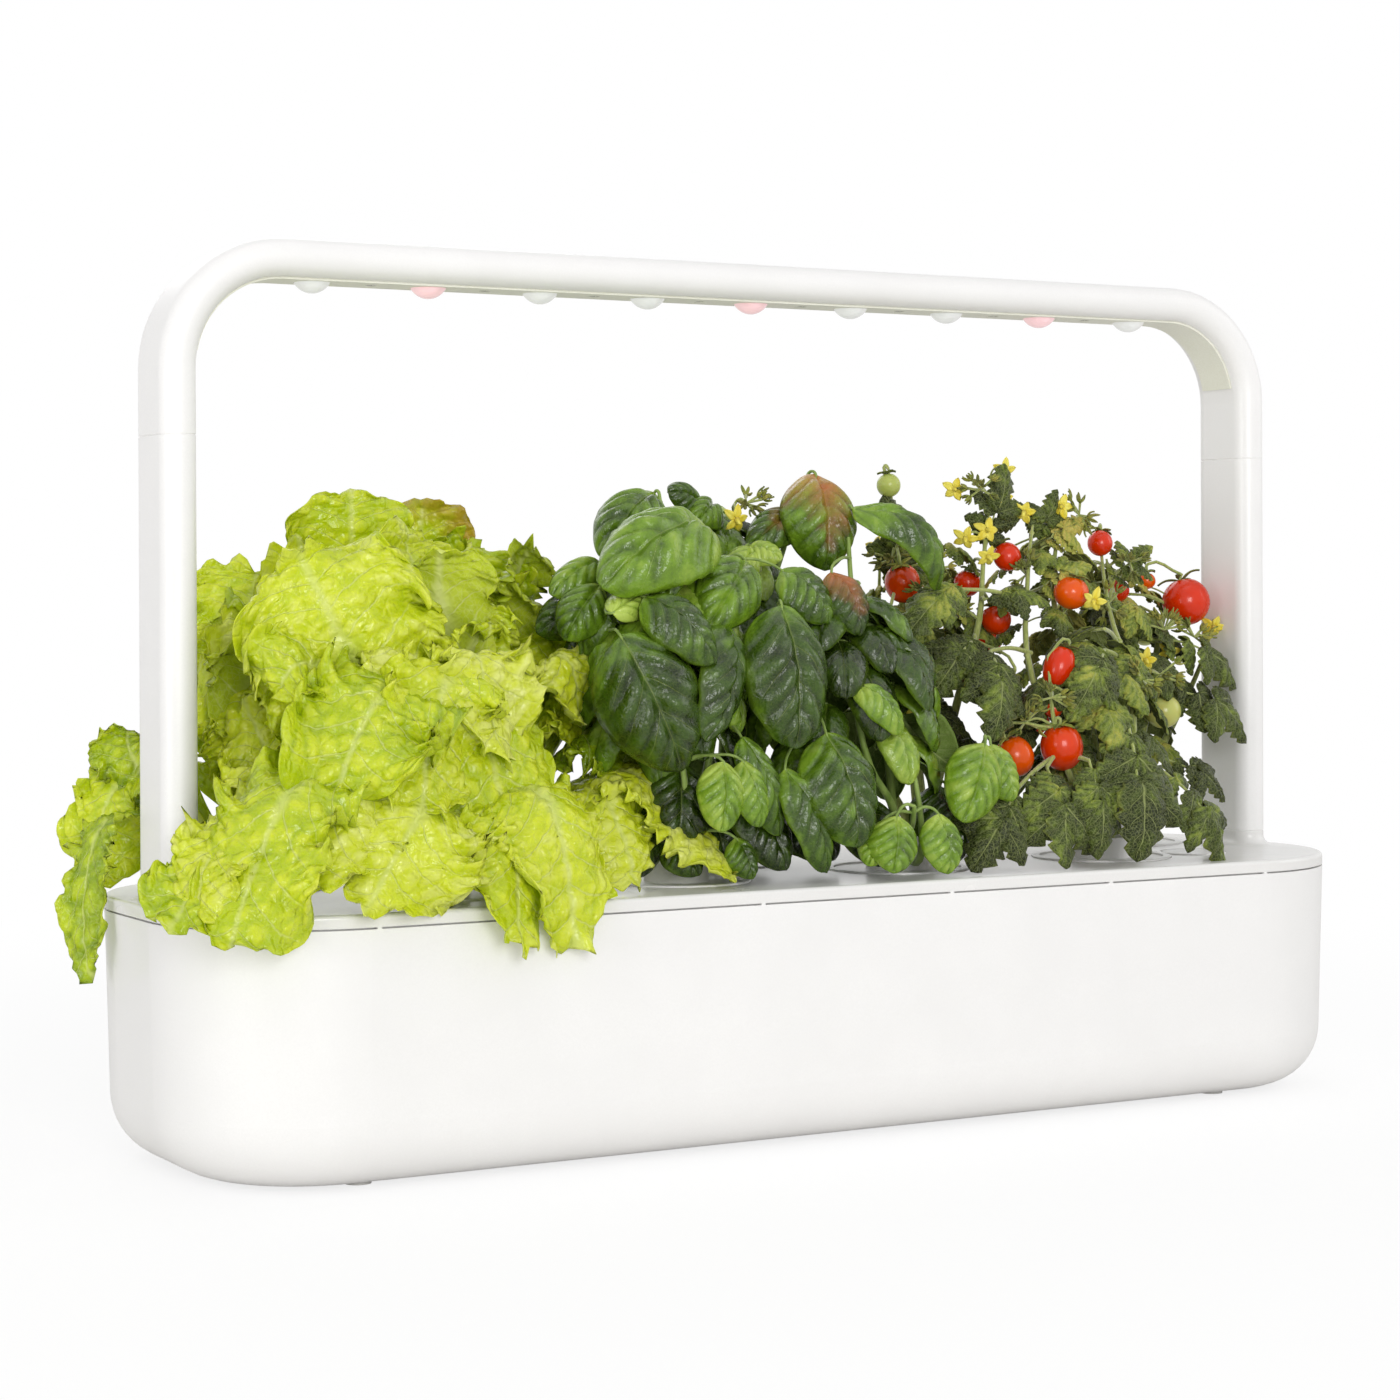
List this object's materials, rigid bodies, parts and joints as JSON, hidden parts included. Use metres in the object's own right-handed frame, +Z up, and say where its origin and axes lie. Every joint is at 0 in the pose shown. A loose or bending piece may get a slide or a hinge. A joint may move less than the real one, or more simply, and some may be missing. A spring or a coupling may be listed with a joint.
{
  "type": "countertop hydroponic garden",
  "caption": "Long water tub with a lift-off lid, round growing pods with leafy plants, and a hoop lamp on push-in extension tubes.",
  "frame": {"origin": "plan centre of the tub on the plane that its feet stand on, 1.5 mm below the tub's underside", "axes": "+Z up, +X along the tub's length, the front is -Y"},
  "size_m": [0.6325, 0.1975, 0.4015],
  "materials": {
    "white_abs": "moulded, satin",
    "clear_rubber": "soft, matt",
    "black_nylon": "moulded, matt",
    "brass": "plated",
    "black_pvc": "extruded, matt",
    "grey_abs": "moulded, matt",
    "float_foam": "closed-cell foam",
    "cover_polycarbonate": "moulded, frosted",
    "solder_mask": "white solder mask",
    "aluminium": "rolled strip",
    "white_emitter": "phosphor",
    "red_emitter": "phosphor",
    "clear_lens": "moulded acrylic, polished",
    "red_lens": "moulded acrylic, polished",
    "screw_steel": "zinc plated",
    "coir_soil": "pressed coir and peat",
    "lettuce_foliage": "fresh leaf, waxy",
    "basil_foliage": "fresh leaf, glossy",
    "tomato_foliage": "fresh leaf, hairy"
  },
  "bodies": {
    "base": {"reservoir_shell": "white_abs", "foot_pads": "clear_rubber"},
    "lid": {"lid_deck": "white_abs", "power_inlet": "black_nylon", "inlet_pin": "brass", "lid_lead": "black_pvc", "lead_channel_cover": "grey_abs", "lid_contacts": "black_nylon"},
    "float": {"float_indicator": "white_abs", "float_body": "float_foam"},
    "left_extension": {"left_extension_tube": "white_abs"},
    "right_extension": {"right_extension_tube": "white_abs", "extension_lead": "black_pvc"},
    "lamp": {"lamp_hoop": "white_abs", "lamp_cover": "cover_polycarbonate", "led_board": "solder_mask", "heat_sink": "aluminium", "white_leds": "white_emitter", "red_leds": "red_emitter", "clear_lenses": "clear_lens", "red_lenses": "red_lens", "timer_board": "solder_mask", "lamp_lead": "black_pvc", "cover_screws": "screw_steel"},
    "lettuce_pod_1": {"planter_cup_1": "white_abs", "soil_plug_1": "coir_soil", "pod_cap_1": "white_abs", "lettuce_1": "lettuce_foliage"},
    "lettuce_pod_2": {"planter_cup_2": "white_abs", "soil_plug_2": "coir_soil", "pod_cap_2": "white_abs", "lettuce_2": "lettuce_foliage"},
    "lettuce_pod_3": {"planter_cup_3": "white_abs", "soil_plug_3": "coir_soil", "pod_cap_3": "white_abs", "lettuce_3": "lettuce_foliage"},
    "basil_pod_4": {"planter_cup_4": "white_abs", "soil_plug_4": "coir_soil", "pod_cap_4": "white_abs", "basil_4": "basil_foliage"},
    "basil_pod_5": {"planter_cup_5": "white_abs", "soil_plug_5": "coir_soil", "pod_cap_5": "white_abs", "basil_5": "basil_foliage"},
    "basil_pod_6": {"planter_cup_6": "white_abs", "soil_plug_6": "coir_soil", "pod_cap_6": "white_abs", "basil_6": "basil_foliage"},
    "tomato_pod_7": {"planter_cup_7": "white_abs", "soil_plug_7": "coir_soil", "pod_cap_7": "white_abs", "tomato_7": "tomato_foliage"},
    "tomato_pod_8": {"planter_cup_8": "white_abs", "soil_plug_8": "coir_soil", "pod_cap_8": "white_abs", "tomato_8": "tomato_foliage"},
    "tomato_pod_9": {"planter_cup_9": "white_abs", "soil_plug_9": "coir_soil", "pod_cap_9": "white_abs", "tomato_9": "tomato_foliage"}
  },
  "joints": [
    {"name": "lid_lift", "type": "slide", "parent": "base", "child": "lid", "axis": [0, 0, 1], "range_m": [0, 0.1]},
    {"name": "float_level", "type": "slide", "parent": "lid", "child": "float", "axis": [0, 0, 1], "range_m": [-0.04, 0]},
    {"name": "left_extension_pull", "type": "slide", "parent": "lid", "child": "left_extension", "axis": [0, 0, 1], "range_m": [0, 0.03]},
    {"name": "right_extension_pull", "type": "slide", "parent": "lid", "child": "right_extension", "axis": [0, 0, 1], "range_m": [0, 0.03]},
    {"name": "lamp_pull", "type": "slide", "parent": "left_extension", "child": "lamp", "axis": [0, 0, 1], "range_m": [0, 0.03]},
    {"name": "lettuce_pod_1_lift", "type": "slide", "parent": "lid", "child": "lettuce_pod_1", "axis": [0, 0, 1], "range_m": [0, 0.06]},
    {"name": "lettuce_pod_2_lift", "type": "slide", "parent": "lid", "child": "lettuce_pod_2", "axis": [0, 0, 1], "range_m": [0, 0.06]},
    {"name": "lettuce_pod_3_lift", "type": "slide", "parent": "lid", "child": "lettuce_pod_3", "axis": [0, 0, 1], "range_m": [0, 0.06]},
    {"name": "basil_pod_4_lift", "type": "slide", "parent": "lid", "child": "basil_pod_4", "axis": [0, 0, 1], "range_m": [0, 0.06]},
    {"name": "basil_pod_5_lift", "type": "slide", "parent": "lid", "child": "basil_pod_5", "axis": [0, 0, 1], "range_m": [0, 0.06]},
    {"name": "basil_pod_6_lift", "type": "slide", "parent": "lid", "child": "basil_pod_6", "axis": [0, 0, 1], "range_m": [0, 0.06]},
    {"name": "tomato_pod_7_lift", "type": "slide", "parent": "lid", "child": "tomato_pod_7", "axis": [0, 0, 1], "range_m": [0, 0.06]},
    {"name": "tomato_pod_8_lift", "type": "slide", "parent": "lid", "child": "tomato_pod_8", "axis": [0, 0, 1], "range_m": [0, 0.06]},
    {"name": "tomato_pod_9_lift", "type": "slide", "parent": "lid", "child": "tomato_pod_9", "axis": [0, 0, 1], "range_m": [0, 0.06]}
  ],
  "couplings": [
    {"joint": "right_extension_pull", "follows": "left_extension_pull", "ratio": 1}
  ]
}
